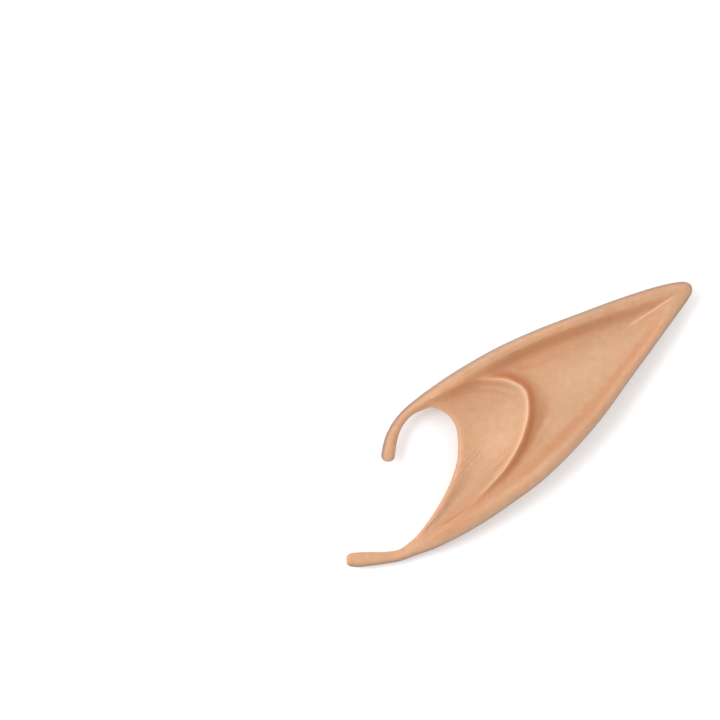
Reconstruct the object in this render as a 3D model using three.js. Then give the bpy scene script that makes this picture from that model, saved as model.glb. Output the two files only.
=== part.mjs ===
// Pointed costume ear tip of soft latex, the wearer's left one, lying on its back.
// It is one hollow moulding: a modelled front skin and a plain back skin that meet along the rim,
// with a pocket between them that opens at the notch, where the wearer's own ear goes in.
// X runs from the lower hook to the point, Y across the ear towards the upper hook, Z out of its face.
// The body is a loft of sections that stand on ribs, each rib running from the notch out to the rim.
import * as THREE from "three";

// Driving dimensions, in millimetres
const LENGTH = 125; // end of the lower hook to the point
const WIDTH = 40; // lower rim to upper rim, across the ear
const WALL = 1.5; // latex skin
const POCKET_GAP = 6.2; // between the two skins where the ear goes in
const RIM_RISE = 5.4; // top of the rolled rim over the front skin
const RIM_WIDTH = 3.9; // rolled rim, from the outline to its inner edge
const RIM_SOLID = 2.4; // rubber between the outline and the end of the pocket
const SCOOP_WIDTH = 12; // the front skin falls over this distance inside the rim
const RIDGE_RISE = 3.3; // fold round the bowl, over the skin beside it
const RIDGE_FALL = 1.1; // how soon the steep part of the fold's outer side drops
const RIDGE_FOOT = 7; // and how far out the rest of it fades away
const BOWL_REACH = 11; // the bowl rises to the fold over this distance
const BOWL_SAG = 1.5; // dip in the middle of the bowl
const LIP_WIDTH = 2.2; // front skin turned down along the notch
const LIP_DROP = 0.8;
const BACK_ROUND = 9; // the back curves up to the rim over this distance
const HOOK_WIDTH = 3.4;
const TIP_LIFT = 2.2; // the back of the point over the table
const HOOK_LIFT = 3.4; // the same for the hooks, at the most
const TAPER_START = 75; // from here to the point the pocket and the rim get lower and the back lifts
const SEAM_WIDTH = 0.4; // groove left along the hooks, where the pocket has closed
const SEAM_DEPTH = 0.6;
const END_ROUND = 1.9; // rounding of the hooks' free ends

// Share of its height at which the outline lies
const OUTLINE_HEIGHT = 0.5;
// The upper rim is flat with a long drop inside, the lower one is round on both sides.
// steep is the share of the rise that drops at the inner edge, and the others are shares of the
// rim's width: brow is the radius of the outer edge, and the drop runs from inner to foot.
const UPPER_RIM = { steep: 0.6, brow: 0.42, inner: 0.66, foot: 1.94 };
const LOWER_RIM = { steep: 0.4, brow: 0.88, inner: 0.92, foot: 2.2 };
const POINT = { gap: 0.3, rise: 0.5 }; // shares of POCKET_GAP and RIM_RISE that are left there
const POINT_END = 0.98; // the end of the point starts at this share of LENGTH
const RIDGE_STEEP = 0.55; // share of RIDGE_RISE in the steep part of its outer side
// Shares of the distance between two rims, or two sides of the fold, over which they blend
const VALLEY_SOFTNESS = 0.11;
const BOWL_SOFTNESS = 0.5;
const SIDE_BLEND = 0.6; // the same for the change from the one side's values to the other's
const RIB_BEND = 0.45; // share of a rib beyond the fold over which it bends square to the rim
const SKIN_END = { hook: 0.1, pocket: 0.5 }; // share of a skin's thickness where its end rounds off
// Shape of the free ends: 2 is round, more is blunter; least is the share of the width left there
const HOOK_ENDS = { upper: 2, lower: 3, least: 0.35 };

// Centre lines of the hooks, from the free end of the upper one and towards that of the lower one.
// x is a share of LENGTH, y of WIDTH and width of HOOK_WIDTH.
const UPPER_HOOK = [
  { x: 0.2156, y: 0.376, width: 1.1 },
  { x: 0.2174, y: 0.382, width: 1.12 },
  { x: 0.2232, y: 0.4, width: 1.15 },
  { x: 0.2352, y: 0.436, width: 1.13 },
  { x: 0.2576, y: 0.4925, width: 1.03 },
  { x: 0.2872, y: 0.539, width: 0.87 },
  { x: 0.32, y: 0.56, width: 0.85 },
];
const LOWER_HOOK = [
  { x: 0.1055, y: -0.195, width: 0.95 },
  { x: 0.0765, y: -0.145, width: 1.0 },
  { x: 0.047, y: -0.082, width: 1.16 },
  { x: 0.0265, y: -0.037, width: 1.24 },
  { x: 0.014, y: -0.007, width: 1.15 },
  { x: 0.0072, y: 0.01, width: 1.1 },
  { x: 0.0045, y: 0.016, width: 1.05 },
];

// Ribs of the body, from the upper hook round the point to the lower hook: where each leaves the
// notch, crosses the fold and ends at the rim. x is a share of LENGTH and y of WIDTH.
const RIBS = [
  { rim: [0.36, 0.599], fold: [0.354, 0.555], notch: [0.348, 0.511] },
  { rim: [0.398, 0.594], fold: [0.388, 0.535], notch: [0.37, 0.485] },
  { rim: [0.445, 0.584], fold: [0.43, 0.505], notch: [0.381, 0.445] },
  { rim: [0.5, 0.563], fold: [0.474, 0.46], notch: [0.387, 0.393] },
  { rim: [0.57, 0.526], fold: [0.514, 0.385], notch: [0.3895, 0.347] },
  { rim: [0.66, 0.455], fold: [0.539, 0.317], notch: [0.389, 0.308] },
  { rim: [0.76, 0.356], fold: [0.551, 0.255], notch: [0.3865, 0.271] },
  { rim: [0.86, 0.252], fold: [0.5565, 0.212], notch: [0.3825, 0.242] },
  { rim: [0.94, 0.156], fold: [0.5573, 0.19], notch: [0.379, 0.222] },
  { rim: [0.98, 0.093], fold: [0.5574, 0.181], notch: [0.3772, 0.213] },
  { rim: [0.9955, 0.055], fold: [0.5573, 0.175], notch: [0.3762, 0.208] },
  { rim: [1.0, 0.016], fold: [0.5572, 0.17], notch: [0.3752, 0.203] },
  { rim: [0.994, -0.021], fold: [0.5571, 0.165], notch: [0.3742, 0.198] },
  { rim: [0.978, -0.047], fold: [0.5569, 0.16], notch: [0.373, 0.193] },
  { rim: [0.94, -0.081], fold: [0.5562, 0.152], notch: [0.371, 0.183] },
  { rim: [0.865, -0.145], fold: [0.5535, 0.131], notch: [0.3665, 0.162] },
  { rim: [0.765, -0.229], fold: [0.5435, 0.08], notch: [0.357, 0.126] },
  { rim: [0.65, -0.327], fold: [0.523, 0.008], notch: [0.342, 0.076] },
  { rim: [0.55, -0.382], fold: [0.473, -0.1], notch: [0.319, 0.022] },
  { rim: [0.459, -0.407], fold: [0.408, -0.174], notch: [0.291, -0.03] },
  { rim: [0.377, -0.399], fold: [0.339, -0.208], notch: [0.26, -0.075] },
  { rim: [0.304, -0.383], fold: [0.272, -0.224], notch: [0.225, -0.116] },
  { rim: [0.238, -0.353], fold: [0.216, -0.231], notch: [0.193, -0.144] },
  { rim: [0.177, -0.312], fold: [0.17, -0.232], notch: [0.161, -0.164] },
  { rim: [0.134, -0.266], fold: [0.134, -0.215], notch: [0.134, -0.167] },
];

// How the section changes along the rim. at is a share of the rim's length. hollow is 1 where the
// pocket is full and 0 in the solid hooks. gap is a share of POCKET_GAP, rise of RIM_RISE, band of
// RIM_WIDTH, fold of RIDGE_RISE and lift of HOOK_LIFT.
const PROFILES = [
  { at: 0.0, hollow: 0.0, gap: 0.1, rise: 0.0, band: 0.6, fold: 0.0, lift: 0.75 },
  { at: 0.05, hollow: 0.0, gap: 0.1, rise: 0.0, band: 0.6, fold: 0.0, lift: 1.0 },
  { at: 0.09, hollow: 0.05, gap: 0.25, rise: 0.2, band: 0.7, fold: 0.0, lift: 0.9 },
  { at: 0.12, hollow: 0.55, gap: 0.65, rise: 0.5, band: 0.9, fold: 0.0, lift: 0.45 },
  { at: 0.16, hollow: 1.0, gap: 1.0, rise: 0.85, band: 1.0, fold: 0.25, lift: 0.0 },
  { at: 0.22, hollow: 1.0, gap: 1.0, rise: 1.0, band: 1.0, fold: 0.9, lift: 0.0 },
  { at: 0.28, hollow: 1.0, gap: 1.0, rise: 1.0, band: 0.95, fold: 1.0, lift: 0.0 },
  { at: 0.38, hollow: 1.0, gap: 1.0, rise: 1.0, band: 1.1, fold: 1.0, lift: 0.0 },
  { at: 0.45, hollow: 1.0, gap: 1.0, rise: 1.0, band: 1.15, fold: 1.0, lift: 0.0 },
  { at: 0.485, hollow: 1.0, gap: 1.0, rise: 1.0, band: 0.9, fold: 1.0, lift: 0.0 },
  { at: 0.52, hollow: 1.0, gap: 1.0, rise: 1.0, band: 0.65, fold: 1.0, lift: 0.0 },
  { at: 0.62, hollow: 1.0, gap: 1.0, rise: 1.0, band: 0.8, fold: 1.0, lift: 0.0 },
  { at: 0.72, hollow: 1.0, gap: 1.0, rise: 1.0, band: 1.0, fold: 0.85, lift: 0.0 },
  { at: 0.8, hollow: 1.0, gap: 0.9, rise: 0.85, band: 1.0, fold: 0.5, lift: 0.0 },
  { at: 0.86, hollow: 0.9, gap: 0.7, rise: 0.55, band: 0.9, fold: 0.2, lift: 0.05 },
  { at: 0.9, hollow: 0.4, gap: 0.35, rise: 0.25, band: 0.7, fold: 0.0, lift: 0.2 },
  { at: 0.93, hollow: 0.0, gap: 0.1, rise: 0.05, band: 0.6, fold: 0.0, lift: 0.4 },
  { at: 1.0, hollow: 0.0, gap: 0.1, rise: 0.0, band: 0.6, fold: 0.0, lift: 0.45 },
];

// Fineness of the loft
const STATION_STEP = 3.6; // along the rim
const LEAST_STEPS = 2; // between two rows of the tables
const RAIL_SAMPLES = 360;
const SPINE_SAMPLES = 12; // from the spine to where a rib belongs to its own side alone
const TINY = 1e-6; // keeps a division from nought

const { clamp, lerp, smoothstep } = THREE.MathUtils;

const onPlan = ([x, y]) => new THREE.Vector3(x * LENGTH, y * WIDTH, 0);
const rail = (points) => new THREE.CatmullRomCurve3(points, false, "centripetal");

// Height of a quarter circle of unit size, at a share of its width
const round = (share) => Math.sqrt(1 - (1 - clamp(share, 0, 1)) ** 2);

// Falls from 1 to nought over a share from 0 to 1, steepest at a third of it
function fadeOut(share) {
  const t = clamp(share, 0, 1);
  return (1 - t) ** 3 * (1 + 3 * t);
}

// A hook's rows as ribs: straight across its centre line, with the fold halfway
function hookRibs(rows) {
  const centre = rows.map((row) => onPlan([row.x, row.y]));
  return rows.map((row, i) => {
    const along = new THREE.Vector3().subVectors(
      centre[Math.min(i + 1, rows.length - 1)],
      centre[Math.max(i - 1, 0)],
    );
    const outward = new THREE.Vector3(-along.y, along.x, 0).normalize();
    const half = (row.width * HOOK_WIDTH) / 2;
    return {
      rim: centre[i].clone().addScaledVector(outward, half),
      fold: centre[i].clone(),
      notch: centre[i].clone().addScaledVector(outward, -half),
    };
  });
}

const ribs = [
  ...hookRibs(UPPER_HOOK),
  ...RIBS.map((row) => ({
    rim: onPlan(row.rim),
    fold: onPlan(row.fold),
    notch: onPlan(row.notch),
  })),
  ...hookRibs(LOWER_HOOK),
];
const rimRail = rail(ribs.map((rib) => rib.rim));
const foldRail = rail(ribs.map((rib) => rib.fold));
const notchRail = rail(ribs.map((rib) => rib.notch));

// The rails as polylines, and how far along the rim each of its samples is
const rimLine = rimRail.getPoints(RAIL_SAMPLES);
const foldLine = foldRail.getPoints(RAIL_SAMPLES);
const notchLine = notchRail.getPoints(RAIL_SAMPLES);
const rimReached = rimLine.reduce(
  (sum, point, i) => [...sum, i ? sum[i - 1] + point.distanceTo(rimLine[i - 1]) : 0],
  [],
);
const rimLength = rimReached[RAIL_SAMPLES];

// The spine runs from the corner of the fold to the spot at the end of the point where the rim
// lies square to it
const slant = (i) => {
  const across = foldLine[i].clone().sub(rimLine[i]).normalize();
  return Math.abs(rimRail.getTangent(i / RAIL_SAMPLES).dot(across));
};
const tipSample = [...rimLine.keys()]
  .filter((i) => rimLine[i].x > POINT_END * LENGTH)
  .reduce((best, i) => (slant(i) < slant(best) ? i : best));
const corner = foldLine[tipSample];
const spine = rimLine[tipSample].clone().sub(corner).normalize();
const acrossSpine = new THREE.Vector3(-spine.y, spine.x, 0);

// The samples at which the body starts and ends, between the hooks
const rowSample = (row) => Math.round((row / (ribs.length - 1)) * RAIL_SAMPLES);
const bodyStart = rowSample(UPPER_HOOK.length);
const bodyEnd = rowSample(UPPER_HOOK.length + RIBS.length - 1);

// The upper and the lower side of a rail's polyline, and the parts of them along the body
const sidesOf = (line) => ({
  upper: line.slice(0, tipSample + 1),
  lower: line.slice(tipSample),
  bodyUpper: line.slice(bodyStart, tipSample + 1),
  bodyLower: line.slice(tipSample, bodyEnd + 1),
});
const rimSides = sidesOf(rimLine);
const foldSides = sidesOf(foldLine);

// The nearest spot of a polyline: how far it is, and its place among the samples
function nearestOn(line, point) {
  const segment = new THREE.Line3();
  const spot = new THREE.Vector3();
  let nearest = { distance: Infinity, sample: 0 };
  for (let i = 1; i < line.length; i += 1) {
    segment.set(line[i - 1], line[i]);
    const t = segment.closestPointToPointParameter(point, true);
    const distance = segment.at(t, spot).distanceTo(point);
    if (distance < nearest.distance) nearest = { distance, sample: i - 1 + t };
  }
  return nearest;
}

// Share of the rim's length reached at a sample that need not be a whole number
function rimShare(sample) {
  const i = Math.min(Math.floor(sample), RAIL_SAMPLES - 1);
  return lerp(rimReached[i], rimReached[i + 1], sample - i) / rimLength;
}

// Where a point lies between a rail's two sides: the distance to the nearer one, blended where both
// are equally far, how much it belongs to the lower one, and the profiles' values there
function placeBetween(sides, softness, point) {
  const above = nearestOn(sides.upper, point).distance;
  const below = nearestOn(sides.lower, point).distance;
  const across = above + below + TINY;
  const blend = (softness * across) / 2;
  const softened = blend * Math.log1p(Math.exp(-Math.abs(above - below) / blend));
  const lowness = smoothstep((above - below) / across, -SIDE_BLEND, SIDE_BLEND);
  const upperAt = rimShare(bodyStart + nearestOn(sides.bodyUpper, point).sample);
  const lowerAt = rimShare(tipSample + nearestOn(sides.bodyLower, point).sample);
  return {
    distance: Math.max(Math.min(above, below) - softened, 0),
    lowness,
    value: (key) => lerp(profileValue(key, upperAt), profileValue(key, lowerAt), lowness),
  };
}

// Smooth value of a column of the profiles that never overshoots its rows
function profileValue(key, at) {
  const rows = PROFILES;
  let i = rows.findIndex((row) => row.at > at) - 1;
  if (i < 0) i = rows.length - 2;
  const rate = (j) => (rows[j + 1][key] - rows[j][key]) / (rows[j + 1].at - rows[j].at);
  const slope = (j) => {
    if (j === 0 || j === rows.length - 1) return 0;
    const [before, after] = [rate(j - 1), rate(j)];
    return before * after > 0 ? (2 * before * after) / (before + after) : 0;
  };
  const span = rows[i + 1].at - rows[i].at;
  const u = clamp((at - rows[i].at) / span, 0, 1);
  return (
    rows[i][key] * (1 + 2 * u) * (1 - u) ** 2 +
    rows[i + 1][key] * u ** 2 * (3 - 2 * u) +
    span * u * (1 - u) * (slope(i) * (1 - u) - slope(i + 1) * u)
  );
}

// Everything that is the same all along one rib
function station(u) {
  const rim = rimRail.getPoint(u);
  const fold = foldRail.getPoint(u);
  const notch = notchRail.getPoint(u);
  const sample = u * RAIL_SAMPLES;
  const at = rimShare(sample);
  const inward = rimRail.getTangent(u);
  inward.set(inward.y, -inward.x, 0);

  // The rib runs straight to the fold, then bends to meet the rim square on, and keeps to its own
  // side of the spine
  const offSpine = Math.abs(rim.clone().sub(corner).dot(acrossSpine));
  const bend = Math.min(
    rim.distanceTo(fold) * RIB_BEND,
    offSpine / (Math.abs(inward.dot(acrossSpine)) + TINY),
  );
  const path = new THREE.CurvePath();
  path.add(new THREE.LineCurve3(notch, fold));
  path.add(new THREE.QuadraticBezierCurve3(fold, rim.clone().addScaledVector(inward, bend), rim));
  const length = path.getLength();
  const value = (key) => profileValue(key, at);
  const hollow = value("hollow");
  const thin = Math.min(length / 2, HOOK_WIDTH / 2);
  // The hooks' free ends are rounded off, the lower one more bluntly
  const roundEnd = (distance, bluntness) =>
    (1 - (1 - clamp(distance / END_ROUND, 0, 1)) ** bluntness) ** (1 / bluntness);
  const plump =
    roundEnd(at * rimLength, HOOK_ENDS.upper) * roundEnd((1 - at) * rimLength, HOOK_ENDS.lower);
  return {
    path,
    length,
    middle: rim.clone().add(notch).divideScalar(2),
    toFold: notch.distanceTo(fold),
    hollow,
    thin,
    gap: value("gap") * POCKET_GAP,
    rise: value("rise") * RIM_RISE,
    lift: value("lift") * HOOK_LIFT,
    band: value("band") * RIM_WIDTH,
    lowness: smoothstep(sample, tipSample - SPINE_SAMPLES, tipSample + SPINE_SAMPLES),
    backRound: lerp(thin, BACK_ROUND, hollow),
    lipRound: lerp(thin, WALL / 2, hollow),
    depth: lerp(Math.min(SEAM_DEPTH, length / 4), length - RIM_SOLID, hollow),
    plump: Math.max(plump, HOOK_ENDS.least),
  };
}

// A length of the rim's form, from shares that change from the upper rim to the lower one
const rimForm = (key, band, lowness) => band * lerp(UPPER_RIM[key], LOWER_RIM[key], lowness);

// Heights of the outer and inner surfaces at a distance from the notch along a rib
function heights(s, reach) {
  const point = s.path.getPoint(clamp(reach / s.length, 0, 1));
  const place = placeBetween(rimSides, VALLEY_SOFTNESS, point);
  const { lowness } = place;
  const toRim = reach >= s.length ? 0 : place.distance;
  const band = place.value("band") * RIM_WIDTH;
  const brow = lerp(s.thin, rimForm("brow", band, lowness), s.hollow);
  const taper = smoothstep(point.x, TAPER_START, LENGTH);
  const steep = lerp(UPPER_RIM.steep, LOWER_RIM.steep, lowness);
  const rise = s.rise * lerp(1, POINT.rise, taper);
  const gap = s.gap * lerp(1, POINT.gap, taper);
  const base = s.lift + TIP_LIFT * taper;

  // The bowl lies between the notch and the fold, and dips in the middle
  const outOfBowl = reach > s.toFold;
  const bowl = placeBetween(foldSides, BOWL_SOFTNESS, point);
  const toNotch = nearestOn(notchLine, point).distance;
  const acrossBowl = outOfBowl ? 1 : toNotch / (toNotch + bowl.distance + TINY);
  const dip = BOWL_SAG * s.hollow * Math.sin(Math.PI * acrossBowl);
  const turn = LIP_DROP * s.hollow * (1 - clamp(reach / LIP_WIDTH, 0, 1)) ** 2;
  const scoop = rise * (1 - steep) * (1 - clamp(toRim / SCOOP_WIDTH, 0, 1)) ** 2;
  const skin = base + 2 * WALL + gap + scoop - dip - turn;

  const inner = rimForm("inner", band, lowness);
  const roll = rise * steep * fadeOut((toRim - inner) / (rimForm("foot", band, lowness) - inner));
  const toFold = outOfBowl ? nearestOn(foldLine, point).distance : bowl.distance;
  const outside =
    RIDGE_STEEP * Math.exp(-toFold / RIDGE_FALL) +
    (1 - RIDGE_STEEP) * (1 - clamp(toFold / RIDGE_FOOT, 0, 1)) ** 2;
  const inside = (1 - clamp(toFold / BOWL_REACH, 0, 1)) ** 2;
  const fold = bowl.value("fold") * s.hollow * RIDGE_RISE * (outOfBowl ? outside : inside);
  const crown = skin + roll + fold;
  const outline = lerp(base, base + 2 * WALL + gap + rise, OUTLINE_HEIGHT);

  const front = outline + (crown - outline) * round(toRim / brow);
  const back = outline - (outline - base) * round(toRim / s.backRound);
  // The inside follows the skins, closes at the end of the pocket and is a mere seam in a hook
  const ceiling = skin - WALL;
  const ground = back + WALL;
  const middle = lerp(outline, (ceiling + ground) / 2, s.hollow);
  const end = round((s.depth - reach) / Math.min(s.depth, (ceiling - ground) / 2));
  const half = (lerp(SEAM_WIDTH, ceiling - ground, s.hollow) / 2) * end;
  // Both skins end at the notch in a rounded edge
  const edge = round(reach / s.lipRound);
  const lipInside = round(reach / Math.min(WALL / 2, s.lipRound));
  const skinEnd = lerp(SKIN_END.hook, SKIN_END.pocket, s.hollow);
  const lip = lerp(middle + half, front, skinEnd);
  const hem = lerp(middle - half, back, skinEnd);
  const plump = (z) => lerp(outline, z, s.plump);
  return {
    point: point.lerp(s.middle, 1 - s.plump),
    front: plump(lerp(lip, front, edge)),
    back: plump(lerp(hem, back, edge)),
    ceiling: plump(lerp(lip, middle + half, lipInside)),
    ground: plump(lerp(hem, middle - half, lipInside)),
  };
}

// Distances along a rib at which its surfaces are sampled: close together by the notch, at the
// fold and at the rim, and never out of order however short the rib is
function spacing(s) {
  const before = s.toFold;
  const after = s.length - s.toFold;
  const turned = (radius, degrees) => radius * (1 - Math.cos(THREE.MathUtils.degToRad(degrees)));
  const lip = Math.min(s.lipRound, before * 0.3);
  const formOf = (key) => rimForm(key, s.band, s.lowness);
  const brow = Math.min(lerp(s.thin, formOf("brow"), s.hollow), after * 0.4);
  const least = (distance, share, span) => Math.min(distance, share * span);
  const nearFold = [0.6, 1.4, 2.8].map((d, i) => before + least(d, 0.06 * (i + 1), after));
  const nearRim = [1.3, 1, 0.75, 0.5, 0.25, 0].map(
    (t, i) => s.length - least(lerp(formOf("inner"), formOf("foot"), t), 0.62 - 0.03 * i, after),
  );
  const between = [0.2, 0.4, 0.6, 0.8].map((t) => lerp(nearFold[2], nearRim[0], t));
  const front = [
    turned(lip, 50),
    turned(lip, 90),
    ...[0.36, 0.52, 0.68, 0.82, 0.93].map((t) => t * before),
    before,
    ...nearFold,
    ...between,
    ...nearRim,
    ...[90, 60, 30].map((degrees) => s.length - turned(brow, degrees)),
  ];
  const backRound = Math.min(s.backRound, s.length * 0.6);
  const back = [
    ...[15, 30, 50, 70, 90].map((degrees) => s.length - turned(backRound, degrees)),
    ...[0.6, 0.25].map((t) => lerp(lip, s.length - backRound, t)),
    turned(lip, 90),
    turned(lip, 50),
  ];
  const mouth = Math.min(lip, s.depth * 0.1);
  const tail = Math.min(s.depth * 0.3, 2);
  const inside = [
    mouth,
    ...[0.15, 0.4, 0.62, 0.85].map((t) => lerp(mouth, s.depth - tail, t)),
    ...[75, 40].map((degrees) => s.depth - turned(tail, degrees)),
  ];
  return { front, back, inside };
}

// The closed section over one rib: front skin out to the rim, back skin in again, then round the pocket
function section(u) {
  const s = station(u);
  const { front, back, inside } = spacing(s);
  const on = (surface) => (reach) => {
    const h = heights(s, reach);
    return { reach, x: h.point.x, y: h.point.y, z: h[surface] };
  };
  return [
    on("front")(0),
    ...front.map(on("front")),
    on("front")(s.length),
    ...back.map(on("back")),
    on("back")(0),
    ...inside.map(on("ground")),
    on("ground")(s.depth),
    ...inside.toReversed().map(on("ceiling")),
  ];
}

// Where the sections stand: evenly between the rows of the tables, more of them on a long stretch
function stations() {
  const rows = ribs.length - 1;
  return ribs.flatMap((rib, i) => {
    if (i === rows) return [1];
    const steps = Math.max(
      LEAST_STEPS,
      Math.round(rib.rim.distanceTo(ribs[i + 1].rim) / STATION_STEP),
    );
    return Array.from({ length: steps }, (_, k) => (i + k / steps) / rows);
  });
}

// Skins a row of closed sections and caps both ends
function loft(sections) {
  const size = sections[0].length;
  const index = [];
  for (let i = 0; i + 1 < sections.length; i += 1) {
    for (let j = 0; j < size; j += 1) {
      const next = (j + 1) % size;
      const [a, b] = [i * size + j, i * size + next];
      const [c, d] = [a + size, b + size];
      index.push(a, c, b, b, c, d);
    }
  }
  const cap = (ring, first, facing) => {
    const contour = ring.map((point) => new THREE.Vector2(point.reach, point.z));
    for (const [a, b, c] of THREE.ShapeUtils.triangulateShape(contour, [])) {
      index.push(first + a, first + (facing ? b : c), first + (facing ? c : b));
    }
  };
  cap(sections[0], 0, false);
  cap(sections.at(-1), size * (sections.length - 1), true);
  const geometry = new THREE.BufferGeometry();
  const positions = sections.flat().flatMap((point) => [point.x, point.y, point.z]);
  geometry.setAttribute("position", new THREE.Float32BufferAttribute(positions, 3));
  geometry.setIndex(index);
  geometry.computeVertexNormals();
  return geometry;
}

const latex = new THREE.MeshStandardMaterial({ color: 0xdfae8a, roughness: 0.5, metalness: 0 });
const earTip = new THREE.Mesh(loft(stations().map(section)), latex);
earTip.name = "ear_tip";

// The origin is under the middle of the ear, on the surface that it lies on
earTip.geometry.computeBoundingBox();
const { min, max } = earTip.geometry.boundingBox;
earTip.position.set(-(min.x + max.x) / 2, -(min.y + max.y) / 2, -min.z);

const ear = new THREE.Group();
ear.name = "elf_ear_tip";
ear.add(earTip);

export default ear;
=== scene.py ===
import bpy
import numpy as np
from mathutils import Matrix, Vector, noise


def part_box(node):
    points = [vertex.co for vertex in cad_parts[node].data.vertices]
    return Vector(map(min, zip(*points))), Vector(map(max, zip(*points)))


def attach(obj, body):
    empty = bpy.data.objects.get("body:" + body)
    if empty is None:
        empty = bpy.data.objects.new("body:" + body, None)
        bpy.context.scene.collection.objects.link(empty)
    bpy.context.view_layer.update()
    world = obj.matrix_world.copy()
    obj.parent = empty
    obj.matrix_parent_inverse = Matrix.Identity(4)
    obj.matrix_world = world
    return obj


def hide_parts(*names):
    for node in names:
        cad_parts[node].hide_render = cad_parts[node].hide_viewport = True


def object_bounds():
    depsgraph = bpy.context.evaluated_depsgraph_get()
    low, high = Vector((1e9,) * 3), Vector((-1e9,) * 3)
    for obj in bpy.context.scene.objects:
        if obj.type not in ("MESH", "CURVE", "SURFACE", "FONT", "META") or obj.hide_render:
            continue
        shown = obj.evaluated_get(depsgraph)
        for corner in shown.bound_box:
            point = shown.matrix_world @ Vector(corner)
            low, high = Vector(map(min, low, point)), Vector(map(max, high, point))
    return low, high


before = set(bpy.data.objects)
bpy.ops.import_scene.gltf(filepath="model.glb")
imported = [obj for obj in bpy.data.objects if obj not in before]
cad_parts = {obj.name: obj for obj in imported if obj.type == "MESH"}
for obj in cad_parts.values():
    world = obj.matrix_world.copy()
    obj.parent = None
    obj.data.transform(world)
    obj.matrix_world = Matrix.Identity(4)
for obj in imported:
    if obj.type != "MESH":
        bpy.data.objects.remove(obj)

cad_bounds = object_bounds()

# Sizes of the ear in millimetres
LENGTH = 125.0
WIDTH = 40.0
WALL = 1.5
POCKET_GAP = 6.2
RIM_RISE = 5.4
RIM_WIDTH = 3.9
RIM_SOLID = 2.4
SCOOP_WIDTH = 12.0
RIDGE_RISE = 3.3
RIDGE_FALL = 1.1
RIDGE_STEEP = 0.55
RIDGE_FOOT = 7.0
CREST_ROUND = 0.25
BEAD_RISE = 0.55
BEAD_WIDTH = 0.85
BEAD_AWAY = 0.35
GROOVE_DEPTH = 0.3
GROOVE_AWAY = 1.9
GROOVE_WIDTH = 0.6
GROOVE_START_Y = 2.0
GROOVE_FULL_Y = 12.0
BOWL_REACH = 11.0
BOWL_SAG = 1.5
LIP_WIDTH = 2.2
LIP_DROP = 0.8
BACK_ROUND = 9.0
HOOK_WIDTH = 3.4
TIP_LIFT = 2.2
HOOK_LIFT = 3.4
TAPER_START = 75.0
SEAM_WIDTH = 0.4
SEAM_DEPTH = 0.6
END_ROUND = 1.9

# Shares of the sizes above, of the band or of a rib
OUTLINE_HEIGHT = 0.5
UPPER_RIM = {"steep": 0.6, "brow": 0.42, "inner": 0.66, "foot": 1.94}
LOWER_RIM = {"steep": 0.4, "brow": 0.88, "inner": 0.92, "foot": 2.2}
POINT = {"gap": 0.3, "rise": 0.5}
VALLEY_SOFTNESS = 0.11
SIDE_BLEND = 0.6
BOWL_SOFTNESS = 0.5
# The end of the wall at the notch, as a share of the way from the pocket's skin to the outside
SKIN_END = {"hook": 0.1, "pocket": 0.5}
RIB_BEND = 0.45
SEAM_SHARE = 0.25
SPINE_BLEND = 1 / 30
LEAST_PLUMP = 0.04
# The bead is gone where the fold is lower than this share of its height
BEAD_END = 1 / 3

# x as a share of LENGTH, y of WIDTH and width of HOOK_WIDTH
UPPER_HOOK = [
    (0.2156, 0.376, 1.1),
    (0.2174, 0.382, 1.12),
    (0.2232, 0.4, 1.15),
    (0.2352, 0.436, 1.13),
    (0.2576, 0.4925, 1.03),
    (0.2872, 0.539, 0.87),
    (0.32, 0.56, 0.85),
]
LOWER_HOOK = [
    (0.1055, -0.195, 0.95),
    (0.0765, -0.145, 1.0),
    (0.047, -0.082, 1.16),
    (0.0265, -0.037, 1.24),
    (0.014, -0.007, 1.15),
    (0.0072, 0.01, 1.1),
    (0.0045, 0.016, 1.05),
]
# Ribs of the body: the rim, the fold and the notch, each as x and y in the same shares
RIBS = [
    (0.36, 0.599, 0.354, 0.555, 0.348, 0.511),
    (0.398, 0.594, 0.388, 0.535, 0.37, 0.485),
    (0.445, 0.584, 0.43, 0.505, 0.381, 0.445),
    (0.5, 0.563, 0.474, 0.46, 0.387, 0.393),
    (0.57, 0.526, 0.514, 0.385, 0.3895, 0.347),
    (0.66, 0.455, 0.539, 0.317, 0.389, 0.308),
    (0.76, 0.356, 0.551, 0.255, 0.3865, 0.271),
    (0.86, 0.252, 0.5565, 0.212, 0.3825, 0.242),
    (0.94, 0.156, 0.5573, 0.19, 0.379, 0.222),
    (0.98, 0.093, 0.5574, 0.181, 0.3772, 0.213),
    (0.9955, 0.055, 0.5573, 0.175, 0.3762, 0.208),
    (1.0, 0.016, 0.5572, 0.17, 0.3752, 0.203),
    (0.994, -0.021, 0.5571, 0.165, 0.3742, 0.198),
    (0.978, -0.047, 0.5569, 0.16, 0.373, 0.193),
    (0.94, -0.081, 0.5562, 0.152, 0.371, 0.183),
    (0.865, -0.145, 0.5535, 0.131, 0.3665, 0.162),
    (0.765, -0.229, 0.5435, 0.08, 0.357, 0.126),
    (0.65, -0.327, 0.523, 0.008, 0.342, 0.076),
    (0.55, -0.382, 0.473, -0.1, 0.319, 0.022),
    (0.459, -0.407, 0.408, -0.174, 0.291, -0.03),
    (0.377, -0.399, 0.339, -0.208, 0.26, -0.075),
    (0.304, -0.383, 0.272, -0.224, 0.225, -0.116),
    (0.238, -0.353, 0.216, -0.231, 0.193, -0.144),
    (0.177, -0.312, 0.17, -0.232, 0.161, -0.164),
    (0.134, -0.266, 0.134, -0.215, 0.134, -0.167),
]
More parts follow.
